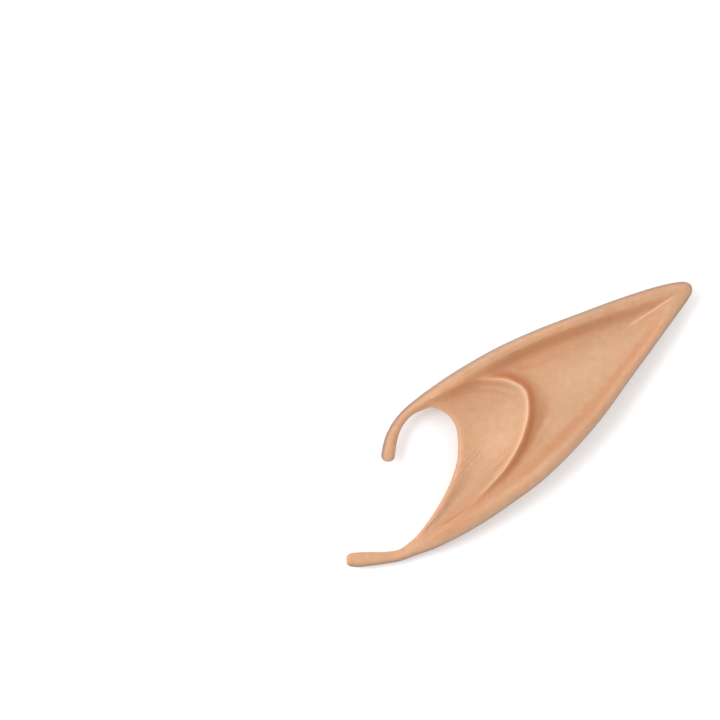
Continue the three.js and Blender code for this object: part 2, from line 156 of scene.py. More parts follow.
# How the section changes along the rim
PROFILE_KEYS = ("at", "hollow", "gap", "rise", "band", "fold", "lift")
PROFILES = np.array([
    (0.0, 0.0, 0.1, 0.0, 0.6, 0.0, 0.75),
    (0.05, 0.0, 0.1, 0.0, 0.6, 0.0, 1.0),
    (0.09, 0.05, 0.25, 0.2, 0.7, 0.0, 0.9),
    (0.12, 0.55, 0.65, 0.5, 0.9, 0.0, 0.45),
    (0.16, 1.0, 1.0, 0.85, 1.0, 0.25, 0.0),
    (0.22, 1.0, 1.0, 1.0, 1.0, 0.9, 0.0),
    (0.28, 1.0, 1.0, 1.0, 0.95, 1.0, 0.0),
    (0.38, 1.0, 1.0, 1.0, 1.1, 1.0, 0.0),
    (0.45, 1.0, 1.0, 1.0, 1.15, 1.0, 0.0),
    (0.485, 1.0, 1.0, 1.0, 0.9, 1.0, 0.0),
    (0.52, 1.0, 1.0, 1.0, 0.65, 1.0, 0.0),
    (0.62, 1.0, 1.0, 1.0, 0.8, 1.0, 0.0),
    (0.72, 1.0, 1.0, 1.0, 1.0, 0.85, 0.0),
    (0.8, 1.0, 0.9, 0.85, 1.0, 0.5, 0.0),
    (0.86, 0.9, 0.7, 0.55, 0.9, 0.2, 0.05),
    (0.9, 0.4, 0.35, 0.25, 0.7, 0.0, 0.2),
    (0.93, 0.0, 0.1, 0.05, 0.6, 0.0, 0.4),
    (1.0, 0.0, 0.1, 0.0, 0.6, 0.0, 0.45),
])
# Low relief on the front skin, all in millimetres: a soft crease outside the fold, the furrow
# beside it, and the sharp bottom of the hollow towards the point
CREASE = [(50, -10), (55, -9), (59, -8), (62.5, -6.8), (66, -5.5), (70, -3.9), (73, -2.2)]
FURROW = [(51, -8.6), (56, -7.6), (60, -6.4), (64, -4.6), (67.5, -2.6), (71, -0.4), (74, 2.6)]
POINT_CREASE = [(103, 2.6), (108, 2.1), (114, 1.55), (121, 1.0)]
CREASE_RISE = 0.14
CREASE_REACH = 0.8
FURROW_DEPTH = 0.5
FURROW_REACH = 1.8
POINT_CREASE_RISE = 0.3
POINT_CREASE_REACH = 0.4
# Fine wrinkles: depth, half width, and the points that each runs through
WRINKLES = [
    (0.20, 0.3, [(26.5, -7.7), (30, -8.4), (35, -8.75), (40, -8.5), (46, -7.6)]),
    (0.10, 0.4, [(42.5, -6.4), (46, -5.7), (50, -5.1), (54, -4.6), (57, -3.8)]),
    (0.08, 0.5, [(54, 17.5), (58.5, 15.4), (62, 12.6), (64.5, 9.5), (65.5, 6.5)]),
    (0.06, 0.6, [(52, 13), (56, 11), (59, 8.5), (61, 5.5)]),
    (0.08, 0.7, [(70.5, 14.2), (74, 11.6), (78.5, 9.6), (84, 8.6)]),
]
# A small dent: its middle, its reach either way and its depth
DENT = {"x": 81.5, "y": -6.6, "reach_x": 0.75, "reach_y": 0.95, "depth": 0.16}
# The slight unevenness of the front skin: size of its swells and how high they are, and where it
# sets in beside the rim
BROAD_SWELL = 11.0
BROAD_RISE = 0.10
FINE_SWELL = 2.6
FINE_RISE = 0.018
FINE_SHIFT = 7.0
SMOOTH_RIM = (0.2, 2.5)
# Soft patches of painted shade, partly a deeper tone of the skin, and of painted light where the last
# value is below nought: x, y and reach either way in millimetres, and how much darker the colour is
SHADE_AND_LIGHT_PATCHES = [
    (55, 14, 8, 6, 0.4),
    (36, -6, 11, 5, 1.2),
    (48, -5, 8, 4, 0.45),
    (63, 9, 5, 7, 0.25),
    (55, 0, 6, 4, -0.25),
    (72, 7, 2.0, 7, 0.55),
    (88, 1, 11, 4, -0.3),
    (70, -10, 16, 3.5, 0.3),
    (60, -16, 40, 2.4, 0.3),
    (80, -12, 14, 2.2, 0.5),
    (94, 8, 16, 3.5, 0.15),
    (80.3, -6.8, 0.45, 0.8, 0.5),
]
# Painted shade along the folds, deeper and more orange: how much, where, and how far to either side.
# Beside a rim its place is a share of the width of the rim's foot. All else is in millimetres.
UPPER_CREASE_SHADE = {"deep": 0.7, "at": 0.55, "before": 1.2, "after": 4.5}
LOWER_CREASE_SHADE = {"deep": 0.35, "at": 0.65, "before": 1.8, "after": 1.8}
FOLD_CREASE_SHADE = {"deep": 1.3, "at": 1.2, "before": 0.7, "after": 1.8}
FURROW_SHADE = 0.8
WRINKLE_SHADE = 4.0
MOST_CREASE_SHADE = 1.3
# Strength of the painted highlight on the fold's top
FOLD_TOP_HIGHLIGHT = 0.8
# Reach in millimetres of the painted light along the thin lip, of the painted shade along the rim's
# edge and of the bowl's edge
LIP_LIGHT_REACH = 1.6
EDGE_SHADE_REACH = 0.7
BOWL_EDGE = (0.3, 2.0)

# Colours of the latex as linear red, green and blue. It drifts between the first two. Each of the
# others has the share that it covers, and is laid on by a pattern or by a mark on the mesh.
DRIFT_COLOURS = ((0.515, 0.285, 0.148), (0.47, 0.272, 0.155))
PATTERN_COLOURS = {
    "blotch": (0.35, (0.465, 0.24, 0.125)),
    "mottle": (0.5, (0.57, 0.345, 0.21)),
}
MARK_COLOURS = {
    # painted shade in soft patches, partly a deeper tone of the skin
    "painted_shade_and_tone": (0.6, (0.42, 0.22, 0.12)),
    # painted light: bright patches, and painted highlights on the fold's top and along the point's
    # crease
    "painted_light": (0.8, (0.66, 0.425, 0.275)),
    # painted light along the thin lip at the notch
    "lip": (0.2, (0.60, 0.35, 0.23)),
    # painted shade in the creases, beside the fold, in the furrow and in the wrinkles
    "painted_crease_shade": (0.65, (0.455, 0.16, 0.055)),
    # painted shade along the rim's outline
    "painted_edge_shade": (0.8, (0.16, 0.105, 0.075)),
    "inside": (0.35, (0.50, 0.28, 0.165)),
}
# Noise patterns: scale, detail and roughness, and the two values that are stretched to 0 and 1
PATTERNS = {
    "drift": (55.0, 3.0, 0.55, 0.35, 0.65),
    "mottle": (480.0, 5.0, 0.7, 0.36, 0.64),
    "blotch": (170.0, 3.0, 0.6, 0.35, 0.65),
    "patch": (110.0, 1.0, 0.5, 0.48, 0.68),
}
# Grain of the mould, pores, and how the bowl's lines wander: scale, detail and roughness
GRAIN = (2600.0, 3.0, 0.6)
PORES = (900.0, 2.0, 0.5)
WANDER = (130.0, 3.0, 0.5)
WANDER_REACH = 5.0
LINE_CLOSENESS = 5.2
GRAIN_HEIGHT = 0.35
PORE_HEIGHT = 0.5
LINE_HEIGHT = 0.3

# Vertices across each zone, from the notch to the rim, then on the back and in the pocket
ROWS = {
    "lip": 6,
    "bowl": 20,
    "bead": 16,
    "beside": 16,
    "slope": 18,
    "field": 52,
    "rim": 18,
    "top": 3,
    "edge": 11,
    "back_edge": 12,
    "back": 10,
    "mouth": 4,
    "pocket": 11,
    "end": 5,
}
# The most that each zone takes of the room on its side of the fold, or of the whole rib
MOST = {
    "lip": 0.3,
    "bowl": 0.75,
    "beside": 0.15,
    "slope": 0.29,
    "brow": 0.4,
    "inner": 0.42,
    "rim": 0.68,
    "back": 0.6,
    "pocket": 0.2,
}
# Widths of zones in millimetres, or as shares of the rim's foot and brow
BESIDE_REACH = 3.0
SLOPE_REACH = 9.0
POCKET_END = 2.0
RIM_OVERRUN = 1.4
TOP_LEAST = 1.02
# Ribs stand this far apart on the rim, with at least so many between two rows of the plan
RIB_STEP = 0.85
LEAST_RIBS = 5

# How finely curves are drawn
LINE_POINTS = 3001
LINE_THIN = 10
CURVE_POINTS = 513
RIM_STEP = 1e-4
POINT_END = 0.98
TINY = 1e-6
MM = 1000


def lerp(a, b, t):
    return a + (b - a) * t


def smoothstep(x, low, high):
    t = np.clip((x - low) / (high - low), 0, 1)
    return t * t * (3 - 2 * t)


def rounded(share):
    """Height of a quarter circle of unit size at a share of its width."""
    return np.sqrt(np.maximum(1 - (1 - np.clip(share, 0, 1)) ** 2, 0))


def fade_out(share):
    """Falls from 1 to nought over a share from 0 to 1, steepest at a third of it."""
    t = np.clip(share, 0, 1)
    return (1 - t) ** 3 * (1 + 3 * t)


def spline(rows, u):
    """Points at u, from 0 to 1, on the centripetal curve through rows."""
    p = np.vstack([2 * rows[0] - rows[1], rows, 2 * rows[-1] - rows[-2]])
    spans = len(rows) - 1
    place = np.clip(u, 0, 1) * spans
    i = np.minimum(place.astype(int), spans - 1)
    w = (place - i)[:, None]
    a, b, c, d = p[i], p[i + 1], p[i + 2], p[i + 3]

    def knot(one, other):
        return np.sqrt(np.linalg.norm(other - one, axis=1))[:, None]

    before, here, after = knot(a, b), knot(b, c), knot(c, d)
    leave = here * ((b - a) / before - (c - a) / (before + here) + (c - b) / here)
    arrive = here * ((c - b) / here - (d - b) / (here + after) + (d - c) / after)
    return (
        b
        + leave * w
        + (-3 * b + 3 * c - 2 * leave - arrive) * w**2
        + (2 * b - 2 * c + leave + arrive) * w**3
    )


def nearest(points, line, coarse=12, block=4096):
    """Distance from each point to a polyline, and the share of the line where it is met."""
    posts = line[::coarse]
    best = np.empty(len(points), int)
    for k in range(0, len(points), block):
        part = points[k : k + block]
        gap = (part[:, None, 0] - posts[None, :, 0]) ** 2 + (part[:, None, 1] - posts[None, :, 1]) ** 2
        best[k : k + block] = gap.argmin(1) * coarse
    least = np.full(len(points), np.inf)
    share = np.zeros(len(points))
    for offset in range(-coarse, coarse + 1):
        i = np.clip(best + offset, 0, len(line) - 2)
        a = line[i]
        d = line[i + 1] - a
        t = np.clip(((points - a) * d).sum(1) / (d * d).sum(1), 0, 1)
        gap = np.linalg.norm(points - a - t[:, None] * d, axis=1)
        closer = gap < least
        least[closer] = gap[closer]
        share[closer] = ((i + t) / (len(line) - 1))[closer]
    return least, share


def profile(key, at):
    """A column of the profiles, smooth and never beyond its rows."""
    x = PROFILES[:, 0]
    y = PROFILES[:, PROFILE_KEYS.index(key)]
    rate = np.diff(y) / np.diff(x)
    slope = np.zeros(len(x))
    product = rate[:-1] * rate[1:]
    total = rate[:-1] + rate[1:]
    slope[1:-1] = np.where(product > 0, 2 * product / np.where(total == 0, 1, total), 0)
    i = np.clip(np.searchsorted(x, at, side="right") - 1, 0, len(x) - 2)
    span = x[i + 1] - x[i]
    u = np.clip((at - x[i]) / span, 0, 1)
    return (
        y[i] * (1 + 2 * u) * (1 - u) ** 2
        + y[i + 1] * u**2 * (3 - 2 * u)
        + span * u * (1 - u) * (slope[i] * (1 - u) - slope[i + 1] * u)
    )


def hook_ribs(rows):
    """Ribs straight across a hook, from its middle line and widths."""
    rows = np.array(rows)
    centre = rows[:, :2] * (LENGTH, WIDTH)
    along = np.vstack([centre[1] - centre[0], centre[2:] - centre[:-2], centre[-1] - centre[-2]])
    outward = np.c_[-along[:, 1], along[:, 0]] / np.linalg.norm(along, axis=1)[:, None]
    half = outward * rows[:, 2:3] * HOOK_WIDTH / 2
    return np.hstack([centre + half, centre, centre - half])


ribs = np.vstack([
    hook_ribs(UPPER_HOOK),
    np.array(RIBS) * np.tile((LENGTH, WIDTH), 3),
    hook_ribs(LOWER_HOOK),
])
even = np.linspace(0, 1, LINE_POINTS)
rim_line = spline(ribs[:, 0:2], even)
fold_line = spline(ribs[:, 2:4], even)
notch_line = spline(ribs[:, 4:6], even)
rim_reached = np.r_[0, np.cumsum(np.linalg.norm(np.diff(rim_line, axis=0), axis=1))]
# The spine runs to the spot at the point's end where the rim lies square to it
rim_run = np.gradient(rim_line, axis=0)
rim_run /= np.linalg.norm(rim_run, axis=1)[:, None]
to_corner = fold_line - rim_line
slant = np.abs((rim_run * to_corner).sum(1)) / np.linalg.norm(to_corner + TINY, axis=1)
tip = int(np.where(rim_line[:, 0] > POINT_END * LENGTH, slant, np.inf).argmin())
BODY_START = (LINE_POINTS - 1) * len(UPPER_HOOK) // (len(ribs) - 1)
BODY_END = (LINE_POINTS - 1) * (len(UPPER_HOOK) + len(RIBS) - 1) // (len(ribs) - 1)
corner = fold_line[tip]
spine = (rim_line[tip] - corner) / np.linalg.norm(rim_line[tip] - corner)
across_spine = np.array([-spine[1], spine[0]])


def line_through(points):
    """A fine polyline on the smooth curve through points."""
    return spline(np.array(points, float), even[::LINE_THIN])


crease_line, furrow_line, point_crease_line = map(line_through, (CREASE, FURROW, POINT_CREASE))


def along_line(points, line, width, ends=0.25):
    """A soft band along a line: 1 on it, fading beside it and towards its two ends."""
    away, share = nearest(points, line, coarse=6)
    fade = smoothstep(share, 0, ends) * (1 - smoothstep(share, 1 - ends, 1))
    return np.exp(-((away / width) ** 2)) * fade


def share_of_rim(u):
    """Distance along the rim as a share of the whole, where the ribs' own share is u."""
    return np.interp(u, even, rim_reached) / rim_reached[-1]


class Between:
    """Where points lie between the upper and the lower side of a line that both hooks share."""

    def __init__(self, points, line, softness):
        upper = nearest(points, line[: tip + 1])[0]
        lower = nearest(points, line[tip:])[0]
        self.least = soft_least(upper, lower, softness)
        self.lowness = smoothstep((upper - lower) / (upper + lower + TINY), -SIDE_BLEND, SIDE_BLEND)
        # The profiles' values come from the body's part of the line, without the hooks
        _, above = nearest(points, line[BODY_START : tip + 1])
        _, below = nearest(points, line[tip : BODY_END + 1])
        last = LINE_POINTS - 1
        self.above = share_of_rim((BODY_START + above * (tip - BODY_START)) / last)
        self.below = share_of_rim((tip + below * (BODY_END - tip)) / last)

    def column(self, key):
        """A column of the profiles at each point, blended between the two sides."""
        return lerp(profile(key, self.above), profile(key, self.below), self.lowness)


def soft_least(one, other, softness):
    """The smaller of two distances, blended where they are nearly the same."""
    blend = softness * (one + other + TINY) / 2
    softened = blend * np.log1p(np.exp(-np.abs(one - other) / blend))
    return np.maximum(np.minimum(one, other) - softened, 0)


def rim_size(key, band, lowness):
    """A value of the rim, between that of the upper rim and that of the lower one."""
    return band * lerp(UPPER_RIM[key], LOWER_RIM[key], lowness)


def end_rounding(reached):
    """How full the hooks' free ends are, which are rounded off, the lower one more bluntly."""
    first = 1 - np.clip(reached / END_ROUND, 0, 1)
    last = 1 - np.clip((reached[-1] - reached) / END_ROUND, 0, 1)
    return np.maximum((1 - first**2) ** 0.5 * (1 - last**3) ** (1 / 3), LEAST_PLUMP)


class Ribs:
    """All ribs of the loft, each value with a row for each rib."""

    def __init__(self, u):
        self.rim = spline(ribs[:, 0:2], u)
        self.fold_point = spline(ribs[:, 2:4], u)
        self.notch = spline(ribs[:, 4:6], u)
        self.middle = (self.rim + self.notch) / 2
        self.bent = self.bent_part(u)
        steps = np.linalg.norm(np.diff(self.bent, axis=1), axis=2)
        self.along = np.hstack([np.zeros((len(u), 1)), np.cumsum(steps, axis=1)])
        self.to_fold = np.linalg.norm(self.fold_point - self.notch, axis=1)
        self.length = self.to_fold + self.along[:, -1]

        reached = np.interp(u, even, rim_reached)
        self.plump = end_rounding(reached)
        self.at = reached / rim_reached[-1]
        self.hollow = profile("hollow", self.at)
        self.thin = np.minimum(self.length / 2, HOOK_WIDTH / 2)
        spine_share = tip / LINE_POINTS
        lowness = smoothstep(u, spine_share - SPINE_BLEND, spine_share + SPINE_BLEND)
        band = profile("band", self.at) * RIM_WIDTH
        self.inner = rim_size("inner", band, lowness)
        self.foot = rim_size("foot", band, lowness)
        self.brow = lerp(self.thin, rim_size("brow", band, lowness), self.hollow)
        self.back_round = lerp(self.thin, BACK_ROUND, self.hollow)
        self.lip_round = lerp(self.thin, WALL / 2, self.hollow)
        seam = np.minimum(SEAM_DEPTH, self.length * SEAM_SHARE)
        self.depth = lerp(seam, self.length - RIM_SOLID, self.hollow)

    def bent_part(self, u):
        """The curved part of each rib, from the fold to the rim, which it meets squarely."""
        ahead = spline(ribs[:, 0:2], np.minimum(u + RIM_STEP, 1))
        behind = spline(ribs[:, 0:2], np.maximum(u - RIM_STEP, 0))
        tangent = (ahead - behind) / np.linalg.norm(ahead - behind, axis=1)[:, None]
        inward = np.c_[tangent[:, 1], -tangent[:, 0]]
        off_spine = np.abs((self.rim - corner) @ across_spine)
        to_spine = off_spine / (np.abs(inward @ across_spine) + TINY)
        to_fold_point = np.linalg.norm(self.rim - self.fold_point, axis=1)
        bend = np.minimum(to_fold_point * RIB_BEND, to_spine)
        control = self.rim + inward * bend[:, None]
        t = np.linspace(0, 1, CURVE_POINTS)[None, :, None]
        return (
            (1 - t) ** 2 * self.fold_point[:, None]
            + 2 * t * (1 - t) * control[:, None]
            + t**2 * self.rim[:, None]
        )

    def points(self, reach):
        """Plan position at each distance from the notch; reach has a row for each rib."""
        to_fold = self.to_fold[:, None]
        share = np.clip(reach / to_fold, 0, 1)[..., None]
        straight = lerp(self.notch[:, None], self.fold_point[:, None], share)
        bent = np.empty(reach.shape + (2,))
        for i, row in enumerate(reach - to_fold):
            for k in (0, 1):
                bent[i, :, k] = np.interp(row, self.along[i], self.bent[i, :, k])
        return np.where((reach > to_fold)[..., None], bent, straight)


def col(values):
    """One value for each rib, as a column."""
    return values[:, None]


def relief_of(points):
    """Low relief of the front skin: creases and furrow, the crease at the point, and wrinkles."""
    shine = along_line(points, point_crease_line, POINT_CREASE_REACH)
    relief = CREASE_RISE * along_line(points, crease_line, CREASE_REACH)
    relief -= FURROW_DEPTH * along_line(points, furrow_line, FURROW_REACH)
    relief += POINT_CREASE_RISE * shine
    wrinkle = np.zeros(len(points))
    for depth, width, run in WRINKLES:
        wrinkle += depth * along_line(points, line_through(run), width)
    return relief, shine, wrinkle


def heights(r, reach):
    """Heights of the four surfaces, and what the material needs to know, at each reach."""
    shape = reach.shape
    points = r.points(reach)
    flat = points.reshape(-1, 2)
    hollow = col(r.hollow)

    def value(key):
        return col(profile(key, r.at))

    # The rims, which blend into each other along the spine
    place = Between(flat, rim_line, VALLEY_SOFTNESS)
    lowness = place.lowness.reshape(shape)
    to_rim = np.where(reach >= col(r.length) - TINY, 0, place.least.reshape(shape))
    band = place.column("band").reshape(shape) * RIM_WIDTH
    inner = rim_size("inner", band, lowness)
    foot = rim_size("foot", band, lowness)
    brow = lerp(col(r.thin), rim_size("brow", band, lowness), hollow)
    steep = rim_size("steep", 1, lowness)
    taper = smoothstep(points[..., 0], TAPER_START, LENGTH)
    rise = value("rise") * RIM_RISE * lerp(1, POINT["rise"], taper)
    gap = value("gap") * POCKET_GAP * lerp(1, POINT["gap"], taper)
    base = value("lift") * HOOK_LIFT + TIP_LIFT * taper
    roll = rise * steep * fade_out((to_rim - inner) / (foot - inner))
    scoop = rise * (1 - steep) * (1 - np.clip(to_rim / SCOOP_WIDTH, 0, 1)) ** 2

    # The bowl lies between the notch and the fold, the field between the fold and the rims
    is_out = reach > col(r.to_fold)
    to_crest = nearest(flat, fold_line)[0].reshape(shape)
    bowl = Between(flat, fold_line, BOWL_SOFTNESS)
    to_fold = bowl.least.reshape(shape)
    fold = bowl.column("fold").reshape(shape) * hollow
    to_notch = nearest(flat, notch_line)[0].reshape(shape)
    across_bowl = np.where(is_out, 1, to_notch / (to_notch + to_fold + TINY))
    dip = BOWL_SAG * hollow * np.sin(np.pi * across_bowl)
    turn = LIP_DROP * hollow * (1 - np.clip(reach / LIP_WIDTH, 0, 1)) ** 2
    skin = base + 2 * WALL + gap + scoop - dip - turn

    # The fold, steep on its outer side, with the bead on top and the groove inside it
    near = np.sqrt(np.where(is_out, to_crest, to_fold) ** 2 + CREST_ROUND**2) - CREST_ROUND
    outside = RIDGE_STEEP * np.exp(-near / RIDGE_FALL)
    outside += (1 - RIDGE_STEEP) * np.clip(1 - near / RIDGE_FOOT, 0, 1) ** 2
    inside = (1 - np.clip(near / BOWL_REACH, 0, 1)) ** 2
    ridge = fold * RIDGE_RISE * np.where(is_out, outside, inside)
    inward = np.where(is_out, -to_crest, to_crest)
    bead = BEAD_RISE * np.exp(-(((inward - BEAD_AWAY) / BEAD_WIDTH) ** 2))
    groove = GROOVE_DEPTH * np.exp(-(((to_crest - GROOVE_AWAY) / GROOVE_WIDTH) ** 2))
    groove *= smoothstep(points[..., 1], GROOVE_START_Y, GROOVE_FULL_Y)
    bead -= np.where(is_out, 0, groove)
    bead *= np.clip((fold - BEAD_END) / (1 - BEAD_END), 0, 1)
    crown = skin + roll + ridge + bead

    # The outside, and the pocket's ceiling and ground
    outline = lerp(base, base + 2 * WALL + gap + rise, OUTLINE_HEIGHT)
    front = outline + (crown - outline) * rounded(to_rim / brow)
    back = outline - (outline - base) * rounded(to_rim / col(r.back_round))
    ceiling = skin - WALL
    ground = back + WALL
    middle = lerp(outline, (ceiling + ground) / 2, hollow)
    half_room = np.maximum((ceiling - ground) / 2, TINY)
    end = rounded((col(r.depth) - reach) / np.minimum(col(r.depth), half_room))
    half = lerp(SEAM_WIDTH, ceiling - ground, hollow) / 2 * end
    edge = rounded(reach / col(r.lip_round))
    inner_edge = rounded(reach / np.minimum(WALL / 2, col(r.lip_round)))
    skin_end = lerp(SKIN_END["hook"], SKIN_END["pocket"], hollow)
    lip = lerp(middle + half, front, skin_end)
    hem = lerp(middle - half, back, skin_end)
    relief, shine, wrinkle = relief_of(flat)
    front = front + (relief - wrinkle).reshape(shape)

    def plump(z):
        return outline + (z - outline) * col(r.plump)

    return {
        "points": lerp(r.middle[:, None], points, r.plump[:, None, None]),
        "front": plump(lerp(lip, front, edge)),
        "back": plump(lerp(hem, back, edge)),
        "ceiling": plump(lerp(lip, middle + half, inner_edge)),
        "ground": plump(lerp(hem, middle - half, inner_edge)),
        "to_rim": to_rim,
        "lowness": lowness,
        "crest": -inward,
        "fold": fold,
        "hollow": np.broadcast_to(hollow, shape),
        "foot": foot,
        "reach": reach,
        "furrow": np.clip(-relief.reshape(shape) / FURROW_DEPTH, 0, 1),
        "shine": shine.reshape(shape),
        "wrinkle": wrinkle.reshape(shape),
    }


def turned(radius, count):
    """Distances from an edge on a rounding of that radius, at even angles after nought."""
    angles = np.radians(np.linspace(0, 90, count + 1)[1:])
    return radius[:, None] * (1 - np.cos(angles))[None, :]


def run(low, high, count):
    """Distances at even steps after low, up to high."""
    t = np.linspace(0, 1, count + 1)[1:]
    return low[:, None] + (high - low)[:, None] * t[None, :]


def spacing(r):
    """Distances from the notch of the vertices on the front, on the back and in the pocket."""
    before = r.to_fold
    after = r.length - r.to_fold
    lip = np.minimum(r.lip_round, before * MOST["lip"])
    bowl = before * MOST["bowl"]
    beside = before + np.minimum(BESIDE_REACH, after * MOST["beside"])
    slope = before + np.minimum(SLOPE_REACH, after * MOST["slope"])
    brow = np.minimum(r.brow, after * MOST["brow"])
    top = r.length - np.maximum(np.minimum(r.inner, after * MOST["inner"]), brow * TOP_LEAST)
    rim = r.length - np.minimum(lerp(r.inner, r.foot, RIM_OVERRUN), after * MOST["rim"])
    front = np.hstack([
        0 * lip[:, None],
        turned(lip, ROWS["lip"]),
        run(lip, bowl, ROWS["bowl"]),
        run(bowl, before, ROWS["bead"]),
        run(before, beside, ROWS["beside"]),
        run(beside, slope, ROWS["slope"]),
        run(slope, rim, ROWS["field"]),
        run(rim, top, ROWS["rim"]),
        run(top, r.length - brow, ROWS["top"]),
        (r.length[:, None] - turned(brow, ROWS["edge"]))[:, ::-1][:, 1:],
        r.length[:, None],
    ])
    back_round = np.minimum(r.back_round, r.length * MOST["back"])
    back = np.hstack([
        r.length[:, None] - turned(back_round, ROWS["back_edge"]),
        run(r.length - back_round, lip, ROWS["back"]),
        turned(lip, ROWS["lip"])[:, ::-1][:, 1:],
        0 * lip[:, None],
    ])
    end = np.minimum(r.depth * MOST["pocket"], POCKET_END)
    mouth = np.minimum(r.depth * MOST["pocket"], lip)
    inside = np.hstack([
        turned(mouth, ROWS["mouth"]),
        run(mouth, r.depth - end, ROWS["pocket"]),
        (r.depth[:, None] - turned(end, ROWS["end"]))[:, ::-1][:, 1:],
    ])
    return front, back, inside


def rows_of_ribs():
    """Where the ribs of the loft stand, closer together where the rim turns."""
    spans = np.linalg.norm(np.diff(ribs[:, 0:2], axis=0), axis=1)
    counts = [max(LEAST_RIBS, round(float(span) / RIB_STEP)) for span in spans]
    places = [i + k / count for i, count in enumerate(counts) for k in range(count)]
    return np.array(places + [len(counts)]) / len(counts)


def unevenness(x, y, z):
    """The slight unevenness of a soft moulding."""
    broad = noise.noise(Vector((x, y, z)) / BROAD_SWELL)
    fine = noise.noise(Vector((x / FINE_SWELL + FINE_SHIFT, y / FINE_SWELL, z / FINE_SWELL)))
    return BROAD_RISE * broad + FINE_RISE * fine


# What each vertex knows of its place on the ear
MARKS = ("to_rim", "lowness", "crest", "fold", "hollow", "foot", "reach", "furrow", "shine", "wrinkle")


def ear_loft():
    """The ear's vertices, a row of them for each rib, with each one's marks and its surface."""
    r = Ribs(rows_of_ribs())
    front, back, inside = spacing(r)
    reaches = {
        "front": front,
        "back": back,
        "ground": np.hstack([inside, col(r.depth)]),
        "ceiling": inside,
    }
    places = []
    marks = {key: [] for key in MARKS}
    surface = []
    for name, reach in reaches.items():
        h = heights(r, reach)
        # The ceiling leads back from the pocket's end to the notch
        order = slice(None, None, -1 if name == "ceiling" else 1)
        points = np.concatenate([h["points"], h[name][..., None]], axis=2)
        places.append(points[:, order])
        for key in MARKS:
            marks[key].append(h[key][:, order])
        surface.append(np.full(reach.shape, name))
    marks = {key: np.concatenate(value, axis=1).ravel() for key, value in marks.items()}
    return np.concatenate(places, axis=1), marks, np.concatenate(surface, axis=1).ravel()


def loft_faces(rows, size):
    """Faces between the rows of the loft, and one at either end, as lists of vertices."""
    i, j = np.meshgrid(np.arange(rows - 1), np.arange(size), indexing="ij")
    a = (i * size + j).ravel()
    b = (i * size + (j + 1) % size).ravel()
    sides = np.stack([a, a + size, b + size, b], axis=1)
    first = list(range(size))
    last = list(range(rows * size - 1, (rows - 1) * size - 1, -1))
    return sides.tolist() + [first, last]


def make_ear():
    """The skin as one mesh, and how its plan was scaled and moved."""
    places, marks, surface = ear_loft()
    rows, size = places.shape[:2]
    vertices = places.reshape(-1, 3)
    mesh = bpy.data.meshes.new("ear_skin")
    mesh.from_pydata(vertices.tolist(), [], loft_faces(rows, size))
    mesh.update()

    # A soft unevenness of the front skin, and one small dent
    is_front = surface == "front"
    shift = np.array([unevenness(*v) for v in vertices])
    keep = is_front * smoothstep(marks["to_rim"], *SMOOTH_RIM) * marks["hollow"]
    dent = ((vertices[:, 0] - DENT["x"]) / DENT["reach_x"]) ** 2
    dent += ((vertices[:, 1] - DENT["y"]) / DENT["reach_y"]) ** 2
    vertices[:, 2] += shift * keep - DENT["depth"] * np.exp(-dent) * is_front

    # Painted shade and painted light in soft patches, partly a deeper tone of the skin, placed in the
    # plan's own millimetres
    tone = shade_and_light_of(vertices) * is_front
    # painted highlights on the fold's top and along the point's crease
    painted_highlight = painted_highlights(marks) * is_front
    # painted light along the thin lip at the notch
    lip = np.exp(-((marks["reach"] / LIP_LIGHT_REACH) ** 2))
    # painted shade along the rim's outline, on the front and the back
    painted_edge_shade = np.exp(-((marks["to_rim"] / EDGE_SHADE_REACH) ** 2))
    layers = {
        # painted shade in the creases
        "painted_crease_shade": crease_shade_of(marks) * is_front,
        # painted shade in soft patches, partly a deeper tone of the skin
        "painted_shade_and_tone": np.clip(tone, 0, 1),
        # painted light in soft patches, and painted highlights
        "painted_light": np.clip(np.maximum(-tone, painted_highlight), 0, 1),
        "lip": lip * marks["hollow"] * is_front,
        "painted_edge_shade": painted_edge_shade * (is_front | (surface == "back")),
        "inside": (surface == "ground") | (surface == "ceiling"),
        "crest": marks["crest"],
        "bowl": smoothstep(-marks["crest"], *BOWL_EDGE) * is_front * marks["hollow"],
    }
    for name, values in layers.items():
        layer = mesh.attributes.new(name, "FLOAT", "POINT")
        layer.data.foreach_set("value", np.ascontiguousarray(values, dtype=np.float32))

    # The ear fills the box of the part that it replaces
    low, high = np.array(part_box("ear_tip")) * MM
    own_low = vertices.min(0)
    scale = (high - low) / (vertices.max(0) - own_low)
    origin = own_low * scale - low
    mesh.vertices.foreach_set("co", ((vertices * scale - origin) / MM).ravel())
    mesh.polygons.foreach_set("use_smooth", np.ones(len(mesh.polygons), bool))
    mesh.update()
    ear = bpy.data.objects.new("ear_skin", mesh)
    bpy.context.scene.collection.objects.link(ear)
    return ear, scale, origin


def crease_shade_of(marks):
    """Painted shade in the folds of the front skin at each vertex: how deep it is, nought on the open
    skin.
    """

    def depth(away, fold):
        reach = np.where(away < 0, fold["before"], fold["after"])
        return fold["deep"] * np.exp(-((away / reach) ** 2))

    upper = depth(marks["to_rim"] - UPPER_CREASE_SHADE["at"] * marks["foot"], UPPER_CREASE_SHADE)
    lower = depth(marks["to_rim"] - LOWER_CREASE_SHADE["at"] * marks["foot"], LOWER_CREASE_SHADE)
    beside = depth(marks["crest"] - FOLD_CREASE_SHADE["at"], FOLD_CREASE_SHADE)
    deepest = np.maximum.reduce([
        upper * (1 - marks["lowness"]),
        lower * marks["lowness"],
        beside * marks["fold"],
        FURROW_SHADE * marks["furrow"],
    ])
    deepest += WRINKLE_SHADE * marks["wrinkle"]
    return np.clip(deepest, 0, MOST_CREASE_SHADE) * marks["hollow"]


